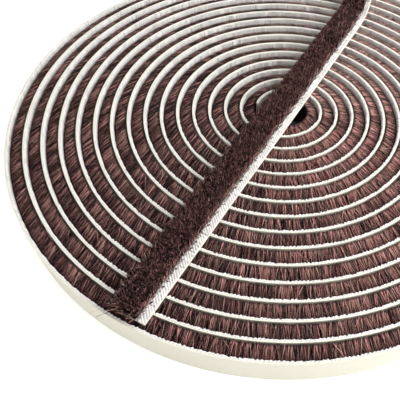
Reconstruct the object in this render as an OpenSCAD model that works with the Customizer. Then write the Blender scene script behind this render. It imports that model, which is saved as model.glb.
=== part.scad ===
// Self-adhesive brush seal strip, as sold: wound flat into an open roll on its edge,
// with the outer end folded over and laid flat across the top, pile up.
// The roll stands on z = 0. The laid end runs along Y and finishes at the -Y rim.

/* [Strip] */
// Width of the backing tape
backing_w = 9; // [6:0.5:14]
// Thickness of the woven backing tape
backing_t = 0.5; // [0.3:0.05:1]
// Thickness of the adhesive film with its release paper
liner_t = 0.2; // [0.1:0.05:0.4]
// Bare tape on each side of the pile's roots
bare_edge_w = 1.6; // [0.8:0.1:2.2]
// How far the tips, where the fibres fan out, stay inside the tape's edges
tip_margin = 0.1; // [0.1:0.1:0.8]
// Height of the pile above the backing
pile_h = 3.35; // [2:0.05:6]
// Corner taken off each side of the pile by its shorter outer tufts
pile_bevel = 0.4; // [0.2:0.1:0.9]

/* [Roll] */
// Full turns, before the outer end leaves the roll
turns = 15; // [8:1:20]
// Radius of the innermost half turn, at the outside of the backing
start_r = 6.8; // [5:0.1:20]
// Part of a turn, in degrees, that the inner end runs on before the first full turn
inner_lead = 14; // [5:1:60]
// Clear space between one turn's pile tips and the turn inside it
winding_gap = 0.2; // [0.15:0.05:1]

/* [Laid end] */
// Distance of the laid end's middle from the roll's axis, towards -X
laid_offset = 0.6; // [-2:0.1:2]
// Height of the laid end's release paper above the roll
laid_gap = 0.3; // [0.2:0.1:1]
// How far the cut end stops short of the rim
cut_setback = 1.5; // [0:0.5:10]
// Radius of the bend where the end leaves the rim
fold_r = 12; // [8:0.5:16]
// Length over which the strip turns from its edge onto its back, past the bend
twist_len = 11; // [8:0.5:20]
// Angle left of the bend when the strip starts to turn onto its back
twist_from = 75; // [40:5:100]
// Angle of the rim over which the outer end climbs out of the roll
climb_arc = 52; // [40:2:60]

/* [Hidden] */
$fn = 96;

// Each turn clears the one inside it by the whole strip and the winding gap
pitch = liner_t + backing_t + pile_h + winding_gap;

// Half turns about two centres, a quarter pitch each side of the axis, join into a spiral
centre_x = pitch / 4;
function half_r(k) = start_r + k * pitch / 2;
last_k = 2 * turns;

// The bend is tangent to the rim's last arc and to the straight line of the laid end
laid_edge_x = -laid_offset - backing_w / 2;
laid_z = backing_w + laid_gap + liner_t;
rim_r = half_r(last_k + 1);
bend_x = laid_edge_x - fold_r;
bend_y = sqrt(pow(rim_r - fold_r, 2) - pow(bend_x - centre_x, 2));
leave_angle = atan2(bend_y, bend_x - centre_x);
cut_y = -(half_r(last_k) - cut_setback);

// Middle of the whole part's outline, which is moved onto the Z axis
left_x = centre_x - rim_r - liner_t;
right_x = centre_x + half_r(last_k - 1) + liner_t;
back_y = bend_y + fold_r + liner_t;
front_y = -half_r(last_k) - liner_t;
middle = [(left_x + right_x) / 2, (back_y + front_y) / 2];

// Sections of the three layers: across the strip's width, and up from the backing's outside
function band(v0, v1) = [[0, v0], [backing_w, v0], [backing_w, v1], [0, v1]];
backing_section = band(0, backing_t);
liner_section = band(-liner_t, 0);
pile_top = backing_t + pile_h;
pile_section = [
    [bare_edge_w, backing_t],
    [backing_w - bare_edge_w, backing_t],
    [backing_w - tip_margin, pile_top - pile_bevel],
    [backing_w - tip_margin - pile_bevel, pile_top],
    [tip_margin + pile_bevel, pile_top],
    [tip_margin, pile_top - pile_bevel]
];

function ease(t) = let (c = min(1, max(0, t))) c * c * (3 - 2 * c);

// A station is [x, y, height of the lower edge, heading, roll onto the back]
climb_step = 3.5;
bend_step = 9;
twist_step = 1.5;
bend_len = fold_r * twist_from * PI / 180;

function roll_at(past) = 90 * ease(past / (bend_len + twist_len));

rim_stations = [
    for (a = [180:-climb_step:leave_angle + climb_step / 2]) [
        centre_x + rim_r * cos(a),
        rim_r * sin(a),
        laid_z * ease((leave_angle + climb_arc - a) / climb_arc),
        a - 90,
        0
    ]
];
bend_stations = [
    for (i = [0:ceil(leave_angle / bend_step)])
        let (b = leave_angle * (1 - i / ceil(leave_angle / bend_step))) [
            bend_x + fold_r * cos(b),
            bend_y + fold_r * sin(b),
            laid_z,
            b - 90,
            roll_at((twist_from - b) * fold_r * PI / 180)
        ]
];
twist_stations = [
    for (d = [twist_step:twist_step:twist_len + twist_step])
        [laid_edge_x, bend_y - d, laid_z, -90, roll_at(bend_len + d)]
];
stations = concat(rim_stations, bend_stations, twist_stations, [[laid_edge_x, cut_y, laid_z, -90, 90]]);

// Place a section's point at a station. The pile side is on the right of the heading,
// and rolls up as the strip falls onto its back to the left.
function at_station(s, p) =
    let (
        left = [-sin(s[3]), cos(s[3]), 0],
        up = [0, 0, 1],
        across = cos(s[4]) * up + sin(s[4]) * left,
        outward = sin(s[4]) * up - cos(s[4]) * left
    )
    [s[0], s[1], s[2]] + p[0] * across + p[1] * outward;

// Sweep a section through the stations of the outer end
module outer_end(section) {
    n = len(section);
    last = len(stations) - 1;
    points = [for (s = stations, p = section) at_station(s, p)];
    sides = [
        for (i = [0:last - 1], j = [0:n - 1])
            let (a = i * n + j, b = i * n + (j + 1) % n)
            each [[a, a + n, b], [b, a + n, b + n]]
    ];
    caps = [[for (j = [0:n - 1]) j], [for (j = [n - 1:-1:0]) last * n + j]];
    polyhedron(points, concat(sides, caps), convexity = 10);
}

// One arc of the roll: the section turned about Z, the pile side facing the axis
module turned_arc(section, r, from, sweep) {
    rotate([0, 0, from])
        rotate_extrude(angle = sweep)
            polygon([for (p = section) [r - p[1], p[0]]]);
}

// The run of one layer: the inner lead, the half turns and the laid end
module strip_run(section) {
    translate([-middle[0], -middle[1], 0]) {
        translate([-centre_x, 0, 0])
            turned_arc(section, half_r(0), 180, inner_lead);
        for (k = [1:last_k])
            translate([k % 2 == 1 ? centre_x : -centre_x, 0, 0])
                turned_arc(section, half_r(k), k % 2 == 1 ? 0 : 180, 180);
        outer_end(section);
    }
}

module backing_tape() {
    color([0.93, 0.93, 0.91]) strip_run(backing_section);
}

module brush_pile() {
    color([0.33, 0.2, 0.19]) strip_run(pile_section);
}

module release_liner() {
    color([0.95, 0.94, 0.87]) strip_run(liner_section);
}

backing_tape();
brush_pile();
release_liner();
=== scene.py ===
import math
import random

import bpy
from mathutils import Matrix, Vector


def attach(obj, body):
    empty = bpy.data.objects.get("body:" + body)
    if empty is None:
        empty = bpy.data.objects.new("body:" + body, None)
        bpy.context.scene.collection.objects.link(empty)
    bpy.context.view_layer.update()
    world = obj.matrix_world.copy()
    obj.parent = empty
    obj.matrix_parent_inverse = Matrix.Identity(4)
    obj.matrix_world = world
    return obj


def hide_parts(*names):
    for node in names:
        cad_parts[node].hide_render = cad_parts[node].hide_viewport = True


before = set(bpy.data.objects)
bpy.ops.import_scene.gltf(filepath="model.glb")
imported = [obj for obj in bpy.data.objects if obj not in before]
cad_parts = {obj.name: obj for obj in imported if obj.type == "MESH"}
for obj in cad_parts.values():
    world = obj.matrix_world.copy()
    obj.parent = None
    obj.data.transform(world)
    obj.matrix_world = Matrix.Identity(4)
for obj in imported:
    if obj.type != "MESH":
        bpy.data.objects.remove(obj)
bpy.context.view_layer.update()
print("frame loaded:", sorted(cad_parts))

mm = 0.001
perMm2 = 1e6  # one on each square mm, counted per square metre
creaseAngle = math.radians(40)  # faces that meet at more than this get a sharp edge
straightUp = 0.999  # from here on the pile points up, and the strip counts as flat

# The strip's section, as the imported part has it
strip = {
    "width": 9.0 * mm,
    "backing": 0.5 * mm,
    "liner": 0.2 * mm,
    "bareEdge": 1.6 * mm,
    "tipMargin": 0.1 * mm,
    "pileHeight": 3.35 * mm,
    "gap": 0.2 * mm,
}

# The roll: half turns about two centres, then the outer end that lies across the top
roll = {
    "turns": 15,
    "startRadius": 6.8 * mm,
    "innerLead": 14,
    "leadStep": 2,
    "laidOffset": 0.6 * mm,
    "laidGap": 0.3 * mm,
    "cutSetback": 1.5 * mm,
    "foldRadius": 12 * mm,
    "twistLength": 11 * mm,
    "twistFrom": 75,
    "climbArc": 52,
    "step": 2.5 * mm,  # between the stations of the fibre beds and the release paper
    "laidStep": 1.0 * mm,
    "fewestSteps": 24,
}

# About where the photograph was taken from: mm from the roll's axis, degrees, and the lens
viewpoint = {
    "place": (39.56, -93.46, 98.54),
    "azimuth": -24.4,
    "down": 54.49,
    "roll": 3.71,
    "lens": 43.88,
    "sensor": 36,
    "shift": (-0.17, 0.0522),
    "clipStart": 0.01,
}


def linearColour(hexCode):
    # sRGB hex to the linear values that the shaders take
    out = []
    for i in (0, 2, 4):
        c = int(hexCode[i:i + 2], 16) / 255
        out.append(c / 12.92 if c <= 0.04045 else ((c + 0.055) / 1.055) ** 2.4)
    return (*out, 1.0)


def addNode(tree, kind, inputs=None, **settings):
    # adds a node with its settings; an input is a value, or the node or output that is linked to it
    node = tree.nodes.new(kind)
    for name, value in settings.items():
        setattr(node, name, value)
    for key, value in (inputs or {}).items():
        if isinstance(value, bpy.types.Node):
            value = value.outputs[0]
        if isinstance(value, bpy.types.NodeSocket):
            tree.links.new(value, node.inputs[key])
        else:
            node.inputs[key].default_value = value
    return node


# The spiral's own numbers follow from the strip and the roll
pitch = strip["liner"] + strip["backing"] + strip["pileHeight"] + strip["gap"]
centreX = pitch / 4
lastHalf = 2 * roll["turns"]


def halfRadius(k):
    return roll["startRadius"] + k * pitch / 2


laidEdgeX = -roll["laidOffset"] - strip["width"] / 2
laidZ = strip["width"] + roll["laidGap"] + strip["liner"]
rimRadius = halfRadius(lastHalf + 1)
bendX = laidEdgeX - roll["foldRadius"]
bendY = math.sqrt((rimRadius - roll["foldRadius"]) ** 2 - (bendX - centreX) ** 2)
leaveAngle = math.degrees(math.atan2(bendY, bendX - centreX))
cutY = -(halfRadius(lastHalf) - roll["cutSetback"])

# The part stands with the middle of its outline on the Z axis
leftX = centreX - rimRadius - strip["liner"]
rightX = centreX + halfRadius(lastHalf - 1) + strip["liner"]
backY = bendY + roll["foldRadius"] + strip["liner"]
frontY = -halfRadius(lastHalf) - strip["liner"]
axis = Vector((-(leftX + rightX) / 2, -(backY + frontY) / 2, 0))

# Half the pile's width at its roots and at its tips
rootHalf = strip["width"] / 2 - strip["bareEdge"]
tipHalf = strip["width"] / 2 - strip["tipMargin"]


def ease(t):
    t = min(1, max(0, t))
    return t * t * (3 - 2 * t)


def stripStations(step):
    # the whole run, as places on the lower edge of the backing's outside:
    # x, y, z, heading, and how many degrees it has rolled onto its back
    places = []
    fewest = roll["fewestSteps"]
    r = halfRadius(0)
    for a in range(0, roll["innerLead"], roll["leadStep"]):
        b = math.radians(180 + roll["innerLead"] - a)
        places.append((r * math.cos(b) - centreX, r * math.sin(b), 0, math.degrees(b) - 90, 0))
    for k in range(1, lastHalf + 1):
        r = halfRadius(k)
        middle = centreX if k % 2 else -centreX
        start = 180 if k % 2 else 0
        steps = max(fewest, round(math.pi * r / step))
        for i in range(steps):
            b = math.radians(start - 180 * i / steps)
            places.append((middle + r * math.cos(b), r * math.sin(b), 0, math.degrees(b) - 90, 0))
    # up and out of the rim
    r = rimRadius
    climb = 180 - leaveAngle
    steps = max(fewest, round(math.radians(climb) * r / step))
    for i in range(steps):
        a = 180 - climb * i / steps
        b = math.radians(a)
        rise = laidZ * ease((leaveAngle + roll["climbArc"] - a) / roll["climbArc"])
        places.append((centreX + r * math.cos(b), r * math.sin(b), rise, a - 90, 0))
    # round the bend, where it starts to fall onto its back
    r = roll["foldRadius"]
    bendLength = r * math.radians(roll["twistFrom"])
    twist = bendLength + roll["twistLength"]
    steps = max(fewest, round(math.radians(leaveAngle) * r / step))
    for i in range(steps):
        a = leaveAngle * (1 - i / steps)
        b = math.radians(a)
        over = 90 * ease(math.radians(roll["twistFrom"] - a) * r / twist)
        places.append((bendX + r * math.cos(b), bendY + r * math.sin(b), laidZ, a - 90, over))
    # straight across the top
    steps = round((bendY - cutY) / min(step, roll["laidStep"]))
    for i in range(steps + 1):
        y = bendY + (cutY - bendY) * i / steps
        places.append((laidEdgeX, y, laidZ, -90, 90 * ease((bendLength + bendY - y) / twist)))
    # each station knows its directions along the strip, across it and out to the pile
    run = []
    distance = 0
    last = None
    up = Vector((0, 0, 1))
    for x, y, z, heading, over in places:
        h, t = math.radians(heading), math.radians(over)
        left = Vector((-math.sin(h), math.cos(h), 0))
        place = Vector((x, y, z)) + axis
        if last is not None:
            distance += (place - last).length
        last = place
        run.append({
            "place": place,
            "along": Vector((math.cos(h), math.sin(h), 0)),
            "across": up * math.cos(t) + left * math.sin(t),
            "out": up * math.sin(t) - left * math.cos(t),
            "distance": distance,
        })
    return run


stations = stripStations(roll["step"])
runLength = stations[-1]["distance"]
coilLength = next(s["distance"] for s in stations if s["place"].z > 0)
flatStart = next(s["distance"] for s in stations if s["out"].z > straightUp)
print("strip run: %.2f m, roll %.2f m" % (runLength, coilLength))


def sweepSection(name, section, run=None, rough=None):
    # a closed mesh along the run, with a UV map in mm: along the strip, and round its section
    run = run or stations
    n = len(section)
    verts, faces, uvs = [], [], []
    girth = [0]
    for a, b in zip(section, section[1:] + section[:1]):
        girth.append(girth[-1] + math.dist(a, b))
    rng = random.Random(7)
    byChance, byTurns = 0.65, 0.35
    for i, s in enumerate(run):
        for j, (u, v) in enumerate(section):
            if rough and j in rough:
                # every other station stands in, the rest stand out, like the loops of a selvedge
                share = rng.uniform(0, byChance) + byTurns * (i % 2)
                (inU, outU), (inV, outV) = rough[j]
                u += inU + (outU - inU) * share
                v += inV + (outV - inV) * share
            verts.append(s["place"] + s["across"] * u + s["out"] * v)
    for i in range(len(run) - 1):
        d0, d1 = run[i]["distance"] / mm, run[i + 1]["distance"] / mm
        for j in range(n):
            k = (j + 1) % n
            faces.append((i * n + j, (i + 1) * n + j, (i + 1) * n + k, i * n + k))
            g0, g1 = girth[j] / mm, girth[j + 1] / mm
            uvs += [(d0, g0), (d1, g0), (d1, g1), (d0, g1)]
    last = (len(run) - 1) * n
    faces.append(tuple(range(n)))
    uvs += [(section[j][1] / mm, girth[j] / mm) for j in range(n)]
    faces.append(tuple(last + j for j in reversed(range(n))))
    uvs += [(runLength / mm + section[j][1] / mm, girth[j] / mm) for j in reversed(range(n))]
    mesh = bpy.data.meshes.new(name)
    mesh.from_pydata(verts, [], faces)
    layer = mesh.uv_layers.new(name="stripMm")
    for loop, uv in zip(layer.data, uvs):
        loop.uv = uv
    for p in mesh.polygons:
        p.use_smooth = True
    mesh.set_sharp_from_angle(angle=creaseAngle)
    obj = bpy.data.objects.new(name, mesh)
    bpy.context.scene.collection.objects.link(obj)
    return obj


def dressNode(obj, node, material=None):
    # the piece rides with the part and takes the place of a CAD node
    if material:
        obj.data.materials.append(material)
    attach(obj, "root")
    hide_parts(node)


def placeCamera():
    cam = bpy.data.cameras.new("camera")
    cam.sensor_width = viewpoint["sensor"]
    cam.lens = viewpoint["lens"]
    cam.shift_x, cam.shift_y = viewpoint["shift"]
    cam.clip_start = viewpoint["clipStart"]
    obj = bpy.data.objects.new("camera", cam)
    bpy.context.scene.collection.objects.link(obj)
    az = math.radians(viewpoint["azimuth"])
    down = math.radians(viewpoint["down"])
    tilt = math.radians(viewpoint["roll"])
    ahead = Vector((math.sin(az) * math.cos(down), math.cos(az) * math.cos(down), -math.sin(down)))
    right = Vector((math.cos(az), -math.sin(az), 0))
    up = right.cross(ahead)
    sideways = right * math.cos(tilt) + up * math.sin(tilt)
    upright = up * math.cos(tilt) - right * math.sin(tilt)
    turn = Matrix((sideways, upright, -ahead)).transposed().to_4x4()
    obj.matrix_world = Matrix.Translation(Vector(viewpoint["place"]) * mm + axis) @ turn
    bpy.context.scene.camera = obj


placeCamera()
print("camera placed")

# Polypropylene fibre, extruded and cut: brown, with a soft gleam along each hair. Real hairs are only a few
# hundredths of a mm thick, so these are drawn coarser, as thick as they need to be to show.
pile = {
    "dark": "1c0a0c",
    "middle": "7a4444",
    "light": "f4aea8",
    "greyed": "cfeee2",
    # colour of the painted shade inside the brush
    "core": "120809",
    "roughness": 0.5,
    "shine": 0.3,
    "toneStops": (0.1, 0.55, 1.0),  # where the dark, middle and light browns lie
    "lighten": (0.3, -0.15),  # how much lighter a fibre gets along its length, and what it starts from
    # painted shade at the roots, deep in the pile
    "rootShade": 0.08,
    "tipShade": 0.2,  # painted shade on the cut tips: their brightness next to the fibres' sides
    # the laid end's cut tips get less painted shade, as they face the light
    "laidTipShade": 0.3,
    "bright": (0.18, 0.85),  # between these shares of its length a fibre gets no painted shade
    "comb": (0.03, 0.4, 0.15),  # forward lean, how much more there is on the left, and where that starts
    "endComb": (0.4, 2.0 * mm),  # the cut end's fibres lean out, over its last 2 mm
    "paintedSideShade": (0.5, 0.8, 0.4),  # painted shade on the fibres, by how light falls on them: everywhere, more to the left, more to the near side
    "spill": 0.4 * mm,  # the outermost fibres start this far over the line of the roots
    "topBand": 0.7 * mm,  # the bed along the edge of the roots, on the upper side and underneath
    "topParts": 4,
    "overlap": 2.5 * mm,  # of each part of the top over the next one
    "boreRun": 48 * mm,  # only the innermost turn shows its whole width, in the bore
    "sideBand": 0.3 * mm,
    "coreInset": 0.4 * mm,
    "coreTipInset": 0.5 * mm,
    "coreLaidHeight": 1.4 * mm,
    "floorGap": 0.05 * mm,
}

# How the tufts of the weave stand
tufts = {
    "stagger": 0.37,  # each row starts this share of a tuft further on
    "rowsPerCell": 64,  # more than there are, so that no two tufts get one number
    "drawIn": 0.2,  # how much the tips of a tuft draw together
    "waveScale": 0.35,  # waves about 3 mm long
    "waveDetail": 2.0,
    "waveTone": 0.2,
    "ownLean": 0.3,  # a fibre's own part of the lean, next to its tuft's
    "ownFan": 0.3,
    "sharedTone": 0.5,  # the tuft's part of the tone, next to each fibre's own
    "crownPower": 4.0,
    "crownDrop": -0.05,
}

# What the fibre tree is given on the roll, then what differs elsewhere; densities are for a square mm
onRoll = {
    "Density": 57,
    "Length": strip["pileHeight"] + strip["gap"],  # the tips touch the turn inside
    "Length Spread": 0.07,
    "Radius": 0.064 * mm,
    "Lean Spread": 0.22,
    "Fan": (tipHalf - rootHalf - pile["spill"]) / strip["pileHeight"],
    "Fan Spread": 0.04,
    "Sway": 0.0,
    "Stray": 0.03,
    "Tuft": 0.22 * mm,
    "Tuft Height": 0.0,
    "Tone": 0.64,
    "Tone Spread": 0.9,
    # how strong the painted shade on the left and near side of the roll is
    "Painted Side Shade": 0.42,
    "Seed": 11,
}
seedStep = 20  # from one part of the top to the next
underneath = {"Density": 9, "Radius": onRoll["Radius"] * 1.5, "Seed": 121}
inBore = {"Density": 20, "Seed": 141}
onFold = {"Density": 14, "Radius": onRoll["Radius"] * 1.3, "Seed": 161}
onLaidEnd = {
    "Density": 66,
    "Length": strip["pileHeight"],
    "Lean Spread": 0.1,
    "Fan": 0.12,
    "Fan Spread": 0.1,
    "Sway": -0.08,
    "Stray": 0.05,
    "Tuft": onRoll["Tuft"] * 0.8,
    "Tuft Height": 0.18,
    # painted shade: the laid end's fibres, seen end-on, are drawn darker than those on the roll
    "Tone": 0.28,
    "Tone Spread": 1.2,
    "Seed": 181,
}
laidSide = {
    "Density": 26,
    "Length": 1.1 * mm,
    "Lean Spread": 0.5,
    "Fan": 0.6,
    "Fan Spread": 0.35,
    "Tuft": 0.6 * mm,
    "Tone": 0.2,
    "Seed": 241,
}
looseHairs = {
    "Density": 0.35,
    "Radius": onRoll["Radius"] * 0.5,
    "Lean Spread": 0.3,
    "Fan": onRoll["Fan"] * 1.25,
    "Stray": 1.0,
    "Tone": 0.95,
    "Tone Spread": 0.1,
    "Seed": 201,
}
looseLaidHairs = {
    **looseHairs,
    "Length": strip["pileHeight"] + 0.5 * mm,
    "Lean Spread": 1.2,
    "Fan": onLaidEnd["Fan"] * 1.5,
    "Seed": 221,
}


def fibreMaterial(name, tip):
    mat = bpy.data.materials.new(name)
    mat.use_nodes = True
    tree = mat.node_tree
    tree.nodes.clear()
    hair = {}
    for key in ("tone", "rise", "grey"):
        hair[key] = addNode(tree, "ShaderNodeAttribute", attribute_name=key).outputs["Fac"]
    # each fibre gets a little lighter from its root to its tip
    more, start = pile["lighten"]
    lift = addNode(tree, "ShaderNodeMath", {0: hair["rise"], 1: more, 2: start}, operation="MULTIPLY_ADD")
    lifted = addNode(tree, "ShaderNodeMath", {0: hair["tone"], 1: lift}, operation="ADD")
    ramp = addNode(tree, "ShaderNodeValToRGB", {"Fac": lifted})
    stops = ramp.color_ramp.elements
    darkAt, middleAt, lightAt = pile["toneStops"]
    stops[0].color, stops[0].position = linearColour(pile["dark"]), darkAt
    stops[1].color, stops[1].position = linearColour(pile["light"]), lightAt
    stops.new(middleAt).color = linearColour(pile["middle"])
    cool = addNode(tree, "ShaderNodeMix", {
        0: hair["grey"], 6: ramp, 7: linearColour(pile["greyed"])}, data_type="RGBA", blend_type="MULTIPLY")
    # painted shade: roots and cut tips are drawn darker than the sides of the fibres
    shade = addNode(tree, "ShaderNodeValToRGB", {"Fac": hair["rise"]})
    stops = shade.color_ramp.elements
    root = pile["rootShade"]
    stops[0].color, stops[0].position = (root, root, root, 1), 0.0
    stops[1].color, stops[1].position = (tip, tip, tip, 1), 1.0
    for position in pile["bright"]:
        stops.new(position).color = (1, 1, 1, 1)
    paint = addNode(tree, "ShaderNodeMix", {
        0: 1.0, 6: cool.outputs[2], 7: shade}, data_type="RGBA", blend_type="MULTIPLY")
    skin = addNode(tree, "ShaderNodeBsdfPrincipled", {
        "Base Color": paint.outputs[2], "Roughness": pile["roughness"], "Specular IOR Level": pile["shine"]})
    addNode(tree, "ShaderNodeOutputMaterial", {"Surface": skin})
    return mat


def coreMaterial():
    # painted shade: a dark sheet between the roots, where no light gets in
    mat = bpy.data.materials.new("paintedShadeBetweenRoots")
    mat.use_nodes = True
    skin = mat.node_tree.nodes["Principled BSDF"]
    skin.inputs["Roughness"].default_value = 1
    skin.inputs["Specular IOR Level"].default_value = 0
    skin.inputs["Base Color"].default_value = linearColour(pile["core"])
    return mat


def fibreBed(start, end, low, high):
    # the ground that fibres grow from: a band of the backing's inner face, between two distances along it
    verts, faces, info = [], [], []
    middle = strip["width"] / 2
    forward, leftward, leftFrom = pile["comb"]
    outward, lastPart = pile["endComb"]
    anywhere, onLeft, nearby = pile["paintedSideShade"]
    run = [s for s in stations if start <= s["distance"] <= end]
    for s in run:
        # the fibres are combed forward most on the roll's left side
        spot = (s["place"] - axis).normalized()
        comb = forward + leftward * ease(leftFrom - spot.x) if start < coilLength else 0
        comb += outward * ease(1 - (runLength - s["distance"]) / lastPart)
        # painted shade: the fibres are drawn darker on the left and the near side, where less light falls on
        # them
        paintedSideShade = ease(anywhere - onLeft * spot.x - nearby * spot.y) if start < coilLength else 0
        for u in (low, high):
            verts.append(s["place"] + s["across"] * (middle + u) + s["out"] * strip["backing"])
            info.append((s["along"], s["across"], s["out"], s["distance"] / mm, u / rootHalf, comb, paintedSideShade))
    for i in range(len(run) - 1):
        a = 2 * i
        faces.append((a, a + 2, a + 3, a + 1))
    mesh = bpy.data.meshes.new("bed")
    mesh.from_pydata(verts, [], faces)
    for at, key in enumerate(("runDir", "acrossDir", "pileDir")):
        layer = mesh.attributes.new(key, "FLOAT_VECTOR", "POINT")
        layer.data.foreach_set("vector", [c for row in info for c in row[at]])
    for at, key in enumerate(("runMm", "acrossShare", "comb", "paintedSideShade"), 3):
        layer = mesh.attributes.new(key, "FLOAT", "POINT")
        layer.data.foreach_set("value", [row[at] for row in info])
    obj = bpy.data.objects.new("bed", mesh)
    bpy.context.scene.collection.objects.link(obj)
    return obj


def fibreTree(label, ends):
    # Geometry Nodes: scatter points on the bed, stand a fibre on each, lean and spread it, give it a tone
    tree = bpy.data.node_groups.new(label, "GeometryNodeTree")
    tree.interface.new_socket("Geometry", in_out="OUTPUT", socket_type="NodeSocketGeometry")
    tree.interface.new_socket("Geometry", in_out="INPUT", socket_type="NodeSocketGeometry")
    for key in onRoll:
        kind = "NodeSocketInt" if key == "Seed" else "NodeSocketFloat"
        tree.interface.new_socket(key, in_out="INPUT", socket_type=kind)
    tree.interface.new_socket("Material", in_out="INPUT", socket_type="NodeSocketMaterial")
    given = addNode(tree, "NodeGroupInput").outputs
    points = addNode(tree, "GeometryNodeDistributePointsOnFaces", {
        "Mesh": given["Geometry"], "Density": given["Density"], "Seed": given["Seed"]})

    # what the bed knows at each point
    bed = {}
    for key in ("acrossShare", "runMm", "comb", "paintedSideShade"):
        bed[key] = addNode(tree, "GeometryNodeInputNamedAttribute", {"Name": key}, data_type="FLOAT")
    for key in ("runDir", "acrossDir", "pileDir"):
        bed[key] = addNode(tree, "GeometryNodeInputNamedAttribute", {"Name": key}, data_type="FLOAT_VECTOR")

    # tufts of the weave: staggered cells whose fibres lean together and draw together at their tips
    tuftMm = addNode(tree, "ShaderNodeMath", {0: given["Tuft"], 1: 1 / mm}, operation="MULTIPLY")
    acrossMm = addNode(tree, "ShaderNodeMath", {
        0: bed["acrossShare"], 1: rootHalf / mm}, operation="MULTIPLY")
    acrossTufts = addNode(tree, "ShaderNodeMath", {0: acrossMm, 1: tuftMm}, operation="DIVIDE")
    row = addNode(tree, "ShaderNodeMath", {0: acrossTufts}, operation="FLOOR")
    runTufts = addNode(tree, "ShaderNodeMath", {0: bed["runMm"], 1: tuftMm}, operation="DIVIDE")
    spot = addNode(tree, "ShaderNodeMath", {
        0: row, 1: tufts["stagger"], 2: runTufts}, operation="MULTIPLY_ADD")
    cell = addNode(tree, "ShaderNodeMath", {0: spot}, operation="FLOOR")
    tuft = addNode(tree, "ShaderNodeMath", {
        0: cell, 1: tufts["rowsPerCell"], 2: row}, operation="MULTIPLY_ADD")
    cellMiddle = addNode(tree, "ShaderNodeMath", {0: cell, 1: 0.5}, operation="ADD")
    offMiddle = addNode(tree, "ShaderNodeMath", {0: cellMiddle, 1: spot}, operation="SUBTRACT")
    pull = addNode(tree, "ShaderNodeMath", {0: tuftMm, 1: tufts["drawIn"]}, operation="MULTIPLY")
    drawn = addNode(tree, "ShaderNodeMath", {0: offMiddle, 1: pull}, operation="MULTIPLY")

    # long waves, so that the brush parts here and there
    wave = addNode(tree, "ShaderNodeTexNoise", {
        "W": bed["runMm"], "Scale": tufts["waveScale"], "Detail": tufts["waveDetail"]}, noise_dimensions="1D")
    sweep = addNode(tree, "ShaderNodeMath", {0: wave, 1: 2.0, 2: -1.0}, operation="MULTIPLY_ADD")

    # chances of each fibre's own, and those that all fibres of a tuft share
    chance = {}
    for i, (key, low, high, shared) in enumerate((
        ("lean", -1, 1, False),
        ("stray", 0, 1, False),
        ("strayLean", -1, 1, False),
        ("fan", -1, 1, False),
        ("strayFan", -0.3, 0.2, False),
        ("spin", 0, 6.28, False),
        ("tone", -1, 1, False),
        ("sizeX", 0.7, 1.3, False),
        ("sizeY", 0.7, 1.3, False),
        ("cut", 0, 1, False),
        ("tuftLean", -1, 1, True),
        ("tuftFan", -1, 1, True),
        ("tuftTone", -1, 1, True),
        ("tuftGrey", 0, 1, True),
        ("tuftCut", 0, 1, True),
    ), 1):
        seed = addNode(tree, "ShaderNodeMath", {0: given["Seed"], 1: i}, operation="ADD")
        inputs = {"Seed": seed, 2: low, 3: high}
        if shared:
            inputs["ID"] = tuft
        chance[key] = addNode(tree, "FunctionNodeRandomValue", inputs, data_type="FLOAT").outputs[1]

    # lean along the strip: the tuft's, the fibre's, the comb's, and now and then a stray one
    ownLean = addNode(tree, "ShaderNodeMath", {
        0: chance["lean"], 1: tufts["ownLean"], 2: sweep}, operation="MULTIPLY_ADD")
    leanShare = addNode(tree, "ShaderNodeMath", {0: chance["tuftLean"], 1: ownLean}, operation="ADD")
    combed = addNode(tree, "ShaderNodeMath", {
        0: leanShare, 1: given["Lean Spread"], 2: bed["comb"]}, operation="MULTIPLY_ADD")
    stray = addNode(tree, "ShaderNodeMath", {0: chance["stray"], 1: given["Stray"]}, operation="LESS_THAN")
    strayLean = addNode(tree, "ShaderNodeMath", {0: stray, 1: chance["strayLean"]}, operation="MULTIPLY")
    strayed = addNode(tree, "ShaderNodeMath", {0: combed, 1: strayLean}, operation="ADD")
    lean = addNode(tree, "ShaderNodeMath", {0: strayed, 1: drawn}, operation="ADD")

    # fan across the strip
    ownFan = addNode(tree, "ShaderNodeMath", {
        0: chance["fan"], 1: tufts["ownFan"], 2: chance["tuftFan"]}, operation="MULTIPLY_ADD")
    fanShare = addNode(tree, "ShaderNodeMath", {0: ownFan, 1: given["Fan Spread"]}, operation="MULTIPLY")
    fanned = addNode(tree, "ShaderNodeMath", {
        0: bed["acrossShare"], 1: given["Fan"], 2: fanShare}, operation="MULTIPLY_ADD")
    strayFan = addNode(tree, "ShaderNodeMath", {0: stray, 1: chance["strayFan"]}, operation="MULTIPLY")
    strayedFan = addNode(tree, "ShaderNodeMath", {0: fanned, 1: strayFan}, operation="ADD")
    fan = addNode(tree, "ShaderNodeMath", {0: strayedFan, 1: given["Sway"]}, operation="ADD")

    # the direction that the fibre points in, turned at random about itself
    leaning = addNode(tree, "ShaderNodeVectorMath", {0: bed["runDir"], "Scale": lean}, operation="SCALE")
    fanning = addNode(tree, "ShaderNodeVectorMath", {0: bed["acrossDir"], "Scale": fan}, operation="SCALE")
    side = addNode(tree, "ShaderNodeVectorMath", {0: leaning, 1: fanning}, operation="ADD")
    aim = addNode(tree, "ShaderNodeVectorMath", {0: side, 1: bed["pileDir"]}, operation="ADD")
    turn = addNode(tree, "FunctionNodeAlignRotationToVector", {"Vector": aim}, axis="Z")
    spinAngle = addNode(tree, "ShaderNodeCombineXYZ", {"Z": chance["spin"]})
    spin = addNode(tree, "FunctionNodeEulerToRotation", {0: spinAngle})
    spun = addNode(tree, "FunctionNodeRotateRotation", {0: turn, 1: spin}, rotation_space="LOCAL")

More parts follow.
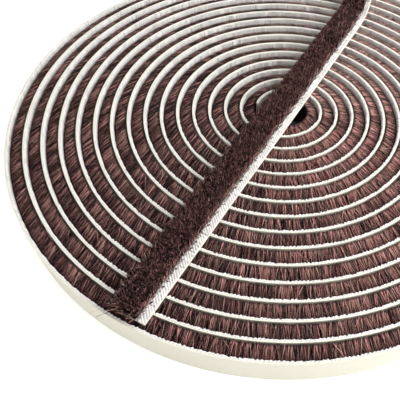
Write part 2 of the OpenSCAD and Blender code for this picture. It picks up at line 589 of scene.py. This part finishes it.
    # tone: tufts and single hairs, lighter or darker, and some tufts greyer
    tuftTone = addNode(tree, "ShaderNodeMath", {
        0: chance["tuftTone"], 1: tufts["sharedTone"]}, operation="MULTIPLY")
    ownTone = addNode(tree, "ShaderNodeMath", {0: chance["tone"], 1: tuftTone}, operation="ADD")
    waveTone = addNode(tree, "ShaderNodeMath", {
        0: sweep, 1: tufts["waveTone"], 2: ownTone}, operation="MULTIPLY_ADD")
    mixedTone = addNode(tree, "ShaderNodeMath", {
        0: waveTone, 1: given["Tone Spread"], 2: given["Tone"]}, operation="MULTIPLY_ADD")
    # painted shade, darker on the left and the near side of the roll
    paintedSideShadeAmount = addNode(tree, "ShaderNodeMath", {
        0: bed["paintedSideShade"], 1: given["Painted Side Shade"]}, operation="MULTIPLY")
    tone = addNode(tree, "ShaderNodeMath", {0: mixedTone, 1: paintedSideShadeAmount}, operation="SUBTRACT")
    toned = addNode(tree, "GeometryNodeStoreNamedAttribute", {
        "Geometry": points, "Name": "tone", "Value": tone}, data_type="FLOAT", domain="POINT")
    greyed = addNode(tree, "GeometryNodeStoreNamedAttribute", {
        "Geometry": toned, "Name": "grey", "Value": chance["tuftGrey"]}, data_type="FLOAT", domain="POINT")

    # one fibre: a three-sided sliver, pointed at its root
    hair = addNode(tree, "GeometryNodeMeshCone", {
        "Vertices": 3, "Side Segments": 1, "Radius Bottom": 0.0, "Radius Top": given["Radius"],
        "Depth": given["Length"]}, fill_type=ends)
    height = addNode(tree, "ShaderNodeSeparateXYZ", {0: addNode(tree, "GeometryNodeInputPosition")})
    rise = addNode(tree, "ShaderNodeMath", {0: height.outputs[2], 1: given["Length"]}, operation="DIVIDE")
    risen = addNode(tree, "GeometryNodeStoreNamedAttribute", {
        "Geometry": hair, "Name": "rise", "Value": rise}, data_type="FLOAT", domain="POINT")

    # the outer tufts are a little shorter, so the brush has a round crown
    outward = addNode(tree, "ShaderNodeMath", {0: bed["acrossShare"]}, operation="ABSOLUTE")
    rounded = addNode(tree, "ShaderNodeMath", {0: outward, 1: tufts["crownPower"]}, operation="POWER")
    crown = addNode(tree, "ShaderNodeMath", {
        0: rounded, 1: tufts["crownDrop"], 2: 1.0}, operation="MULTIPLY_ADD")
    ownCut = addNode(tree, "ShaderNodeMath", {
        0: chance["cut"], 1: given["Length Spread"]}, operation="MULTIPLY")
    cut = addNode(tree, "ShaderNodeMath", {
        0: chance["tuftCut"], 1: given["Tuft Height"], 2: ownCut}, operation="MULTIPLY_ADD")
    tall = addNode(tree, "ShaderNodeMath", {0: crown, 1: cut}, operation="SUBTRACT")
    # a slanted fibre is longer, so that all tips end in one plane
    slant = addNode(tree, "ShaderNodeVectorMath", {0: aim}, operation="LENGTH").outputs["Value"]
    reach = addNode(tree, "ShaderNodeMath", {0: tall, 1: slant}, operation="MULTIPLY")
    size = addNode(tree, "ShaderNodeCombineXYZ", {"X": chance["sizeX"], "Y": chance["sizeY"], "Z": reach})
    grown = addNode(tree, "GeometryNodeInstanceOnPoints", {
        "Points": greyed, "Instance": risen, "Rotation": spun, "Scale": size})
    real = addNode(tree, "GeometryNodeRealizeInstances", {"Geometry": grown})

    # the lowest fibres are bent up by whatever the roll lies on
    spread = addNode(tree, "ShaderNodeSeparateXYZ", {0: addNode(tree, "GeometryNodeInputPosition")})
    upZ = addNode(tree, "ShaderNodeMath", {0: spread.outputs[2], 1: pile["floorGap"]}, operation="MAXIMUM")
    lifted = addNode(tree, "ShaderNodeCombineXYZ", {0: spread.outputs[0], 1: spread.outputs[1], 2: upZ})
    rested = addNode(tree, "GeometryNodeSetPosition", {"Geometry": real, "Position": lifted})
    painted = addNode(tree, "GeometryNodeSetMaterial", {"Geometry": rested, "Material": given["Material"]})
    addNode(tree, "NodeGroupOutput", {"Geometry": painted})
    return tree


def growFibres(tree, name, bed, material, changes):
    # runs the tree on a bed and keeps the result as a plain mesh
    values = {**onRoll, **changes, "Material": material}
    values["Density"] *= perMm2
    modifier = bed.modifiers.new("grow", "NODES")
    modifier.node_group = tree
    sockets = {s.name: s.identifier for s in tree.interface.items_tree if s.in_out == "INPUT"}
    for key, value in values.items():
        modifier[sockets[key]] = value
    depsgraph = bpy.context.evaluated_depsgraph_get()
    mesh = bpy.data.meshes.new_from_object(bed.evaluated_get(depsgraph))
    mesh.name = name
    obj = bpy.data.objects.new(name, mesh)
    bpy.context.scene.collection.objects.link(obj)
    bpy.data.objects.remove(bed)
    dressNode(obj, "brush_pile")
    print("  %s: %d triangles" % (name, sum(len(p.vertices) - 2 for p in mesh.polygons)))


def makeCore(name, run, height, fan, material):
    # painted shade for the unlit inside of the brush, a little narrower than the fibres
    middle = strip["width"] / 2
    root, tip = strip["backing"], strip["backing"] + height
    low = rootHalf - pile["coreInset"]
    high = low + fan * height / strip["pileHeight"]
    core = sweepSection(name, [
        (middle - low, root), (middle + low, root), (middle + high, tip), (middle - high, tip)], run=run)
    dressNode(core, "brush_pile", material)


def makePile():
    hairs = fibreMaterial("brownPolypropyleneFibre", pile["tipShade"])
    # the same fibre, with less painted shade on its cut tips, for the laid end
    tips = fibreMaterial("brownFibrePaintedTipShadeLaid", pile["laidTipShade"])
    roots = coreMaterial()
    tree = fibreTree("growFibres", "NONE")
    cutTree = fibreTree("growCutFibres", "NGON")
    edge = rootHalf + pile["spill"]
    # the upper side of the roll, in parts that each stay a reasonable mesh
    for i in range(pile["topParts"]):
        start, end = (coilLength * j / pile["topParts"] for j in (i, i + 1))
        bed = fibreBed(start, end + pile["overlap"], edge - pile["topBand"], edge)
        growFibres(tree, "pile_top_%d" % (i + 1), bed, hairs, {"Seed": onRoll["Seed"] + seedStep * i})
    bed = fibreBed(0, coilLength, -rootHalf, pile["topBand"] - rootHalf)
    growFibres(tree, "pile_under", bed, hairs, underneath)
    bed = fibreBed(0, pile["boreRun"], -rootHalf, rootHalf)
    growFibres(tree, "pile_bore", bed, hairs, inBore)
    bed = fibreBed(coilLength, flatStart, -rootHalf, rootHalf)
    growFibres(tree, "pile_fold", bed, hairs, onFold)
    bed = fibreBed(flatStart, runLength, -rootHalf, rootHalf)
    growFibres(cutTree, "pile_laid", bed, tips, onLaidEnd)
    # a few pale hairs lie loose over the rest
    bed = fibreBed(0, coilLength, edge - pile["topBand"], edge)
    growFibres(tree, "hairs_roll", bed, hairs, looseHairs)
    # short tufts along the laid end's side
    bed = fibreBed(flatStart, runLength, rootHalf - pile["sideBand"], rootHalf)
    growFibres(tree, "pile_laid_side", bed, hairs, laidSide)
    bed = fibreBed(flatStart, runLength, -rootHalf, rootHalf)
    growFibres(tree, "hairs_laid", bed, hairs, looseLaidHairs)
    rolled = [s for s in stations if s["distance"] <= flatStart]
    fan = tipHalf - rootHalf - pile["coreTipInset"]
    makeCore("pile_core", rolled, strip["pileHeight"] - pile["coreInset"], fan, roots)
    laid = [s for s in stations if s["distance"] >= flatStart]
    makeCore("pile_core_laid", laid, pile["coreLaidHeight"], 0, roots)


makePile()
print("pile grown")

# Woven polypropylene tape: a white twill whose fine diagonal lines break the white up, with uneven selvedges.
# Real twill lines are finer; these are drawn as coarse as they need to be to show.
tape = {
    "colour": "faf8f3",
    "shade": "b4ac9c",
    "whiteFrom": 0.6,
    "roughness": 0.8,
    "twill": 0.8,  # mm from line to line
    "waviness": 0.3,
    "wobbleScale": 0.9,
    "grain": 0.7,
    "grainScale": 2.5,
    "detail": 2.0,
    "bump": (0.7, 0.12 * mm),
    "bevel": 0.07 * mm,
    "step": 0.42 * mm,
    "selvedge": 0.26 * mm,
}


def tapeMaterial():
    mat = bpy.data.materials.new("wovenWhitePolypropylene")
    mat.use_nodes = True
    tree = mat.node_tree
    skin = tree.nodes["Principled BSDF"]
    skin.inputs["Roughness"].default_value = tape["roughness"]
    uv = addNode(tree, "ShaderNodeUVMap", uv_map="stripMm")
    split = addNode(tree, "ShaderNodeSeparateXYZ", {0: uv})
    wobble = addNode(tree, "ShaderNodeTexNoise", {
        "Vector": uv, "Scale": tape["wobbleScale"], "Detail": tape["detail"]})
    # twill lines at 45 degrees, one every twill mm, a little wavy
    slant = addNode(tree, "ShaderNodeMath", {0: split.outputs[0], 1: split.outputs[1]}, operation="ADD")
    wavy = addNode(tree, "ShaderNodeMath", {
        0: wobble, 1: tape["waviness"], 2: slant}, operation="MULTIPLY_ADD")
    turn = addNode(tree, "ShaderNodeMath", {0: wavy, 1: 2 * math.pi / tape["twill"]}, operation="MULTIPLY")
    wave = addNode(tree, "ShaderNodeMath", {0: turn}, operation="SINE")
    half = addNode(tree, "ShaderNodeMath", {0: wave, 1: 0.5, 2: 0.5}, operation="MULTIPLY_ADD")
    grain = addNode(tree, "ShaderNodeTexNoise", {
        "Vector": uv, "Scale": tape["grainScale"], "Detail": tape["detail"]})
    weave = addNode(tree, "ShaderNodeMath", {0: grain, 1: tape["grain"], 2: half}, operation="MULTIPLY_ADD")
    ramp = addNode(tree, "ShaderNodeValToRGB", {"Fac": weave})
    stops = ramp.color_ramp.elements
    stops[0].color, stops[0].position = linearColour(tape["shade"]), 0.0
    stops[1].color, stops[1].position = linearColour(tape["colour"]), tape["whiteFrom"]
    tree.links.new(ramp.outputs["Color"], skin.inputs["Base Color"])
    strength, distance = tape["bump"]
    bump = addNode(tree, "ShaderNodeBump", {"Strength": strength, "Distance": distance, "Height": weave})
    tree.links.new(bump.outputs[0], skin.inputs["Normal"])
    return mat


def makeTape():
    b = tape["bevel"]
    w, t = strip["width"], strip["backing"]
    # on the pile's side of both edges, the yarns that turn back stand in or out:
    # how far for each corner of the section, across the strip and then through its thickness
    low, high = -tape["selvedge"], 0.7 * tape["selvedge"]
    rough = {
        2: ((-0.05 * mm, 0.05 * mm), (0, 0)),
        3: ((-0.08 * mm, 0.06 * mm), (low, high)),
        4: ((-0.1 * mm, 0.05 * mm), (0.8 * low, high)),
        5: ((-0.03 * mm, 0.1 * mm), (0.8 * low, high)),
        6: ((0, 0.08 * mm), (low, high)),
    }
    section = [(b, 0), (w - b, 0), (w, b), (w, t - b), (w - b, t), (b, t), (0, t - b), (0, b)]
    obj = sweepSection("woven_tape", section, run=stripStations(tape["step"]), rough=rough)
    dressNode(obj, "backing_tape", tapeMaterial())


makeTape()
print("tape woven")

# Silicone-coated release paper: cream and smooth, with a dull sheen and faint clouds
liner = {"colour": "faf6e6", "shade": "f1ecd9", "roughness": 0.55, "clouds": 0.12, "detail": 4.0}


def linerMaterial():
    mat = bpy.data.materials.new("creamReleasePaper")
    mat.use_nodes = True
    tree = mat.node_tree
    skin = tree.nodes["Principled BSDF"]
    skin.inputs["Roughness"].default_value = liner["roughness"]
    uv = addNode(tree, "ShaderNodeUVMap", uv_map="stripMm")
    cloud = addNode(tree, "ShaderNodeTexNoise", {
        "Vector": uv, "Scale": liner["clouds"], "Detail": liner["detail"]})
    ramp = addNode(tree, "ShaderNodeValToRGB", {"Fac": cloud})
    ramp.color_ramp.elements[0].color = linearColour(liner["shade"])
    ramp.color_ramp.elements[1].color = linearColour(liner["colour"])
    tree.links.new(ramp.outputs["Color"], skin.inputs["Base Color"])
    return mat


def makeLiner():
    w, t = strip["width"], strip["liner"]
    obj = sweepSection("release_paper", [(0, -t), (w, -t), (w, 0), (0, 0)])
    dressNode(obj, "release_liner", linerMaterial())


makeLiner()
print("liner laid")

# A pale floor that reads as white away from the roll and takes its shadow close by
studio = {
    "floor": "f2f2f2",
    "floorHalf": 3,  # m
    "glow": 0.75,
    "glowFrom": 62 * mm,
    "glowTo": 79 * mm,
    "sky": 0.49,
    # power in W, size and place in m; the second only lifts the side that faces the camera
    "window": (1.6, 0.36, (0.24, 0.1, 0.18)),
    "fill": (0.85, 0.4, (-0.25, -0.5, 0.12)),
}


def layFloor():
    h = studio["floorHalf"]
    mesh = bpy.data.meshes.new("floor")
    mesh.from_pydata([(-h, -h, 0), (h, -h, 0), (h, h, 0), (-h, h, 0)], [], [(0, 1, 2, 3)])
    floor = bpy.data.objects.new("floor", mesh)
    bpy.context.scene.collection.objects.link(floor)
    mat = bpy.data.materials.new("paleFloor")
    mat.use_nodes = True
    tree = mat.node_tree
    tree.nodes.clear()
    path = addNode(tree, "ShaderNodeLightPath")
    paint = addNode(tree, "ShaderNodeBsdfDiffuse", {"Color": linearColour(studio["floor"])})
    spot = addNode(tree, "ShaderNodeTexCoord")
    away = addNode(tree, "ShaderNodeVectorMath", {0: spot.outputs["Object"], 1: axis}, operation="DISTANCE")
    ring = addNode(tree, "ShaderNodeMapRange", {
        0: away.outputs["Value"], 1: studio["glowFrom"], 2: studio["glowTo"]})
    seen = addNode(tree, "ShaderNodeMath", {0: ring, 1: path.outputs["Is Camera Ray"]}, operation="MULTIPLY")
    strength = addNode(tree, "ShaderNodeMath", {0: seen, 1: studio["glow"]}, operation="MULTIPLY")
    glow = addNode(tree, "ShaderNodeEmission", {"Strength": strength})
    both = addNode(tree, "ShaderNodeAddShader", {0: paint, 1: glow})
    addNode(tree, "ShaderNodeOutputMaterial", {"Surface": both})
    mesh.materials.append(mat)


def lightStudio():
    world = bpy.data.worlds.new("studio")
    bpy.context.scene.world = world
    world.use_nodes = True
    tree = world.node_tree
    tree.nodes.clear()
    path = addNode(tree, "ShaderNodeLightPath")
    sky = addNode(tree, "ShaderNodeBackground", {"Color": (1, 1, 1, 1), "Strength": studio["sky"]})
    seen = addNode(tree, "ShaderNodeBackground", {"Color": (1, 1, 1, 1), "Strength": 1.0})
    mix = addNode(tree, "ShaderNodeMixShader", {0: path.outputs["Is Camera Ray"], 1: sky, 2: seen})
    addNode(tree, "ShaderNodeOutputWorld", {"Surface": mix})
    for name in ("window", "fill"):
        power, size, place = studio[name]
        lamp = bpy.data.lights.new(name, "AREA")
        lamp.energy = power
        lamp.size = size
        obj = bpy.data.objects.new(name, lamp)
        bpy.context.scene.collection.objects.link(obj)
        obj.location = place
        obj.rotation_euler = (-obj.location).to_track_quat("-Z", "Y").to_euler()


layFloor()
lightStudio()
print("studio set")

bpy.context.scene.view_settings.view_transform = "Standard"
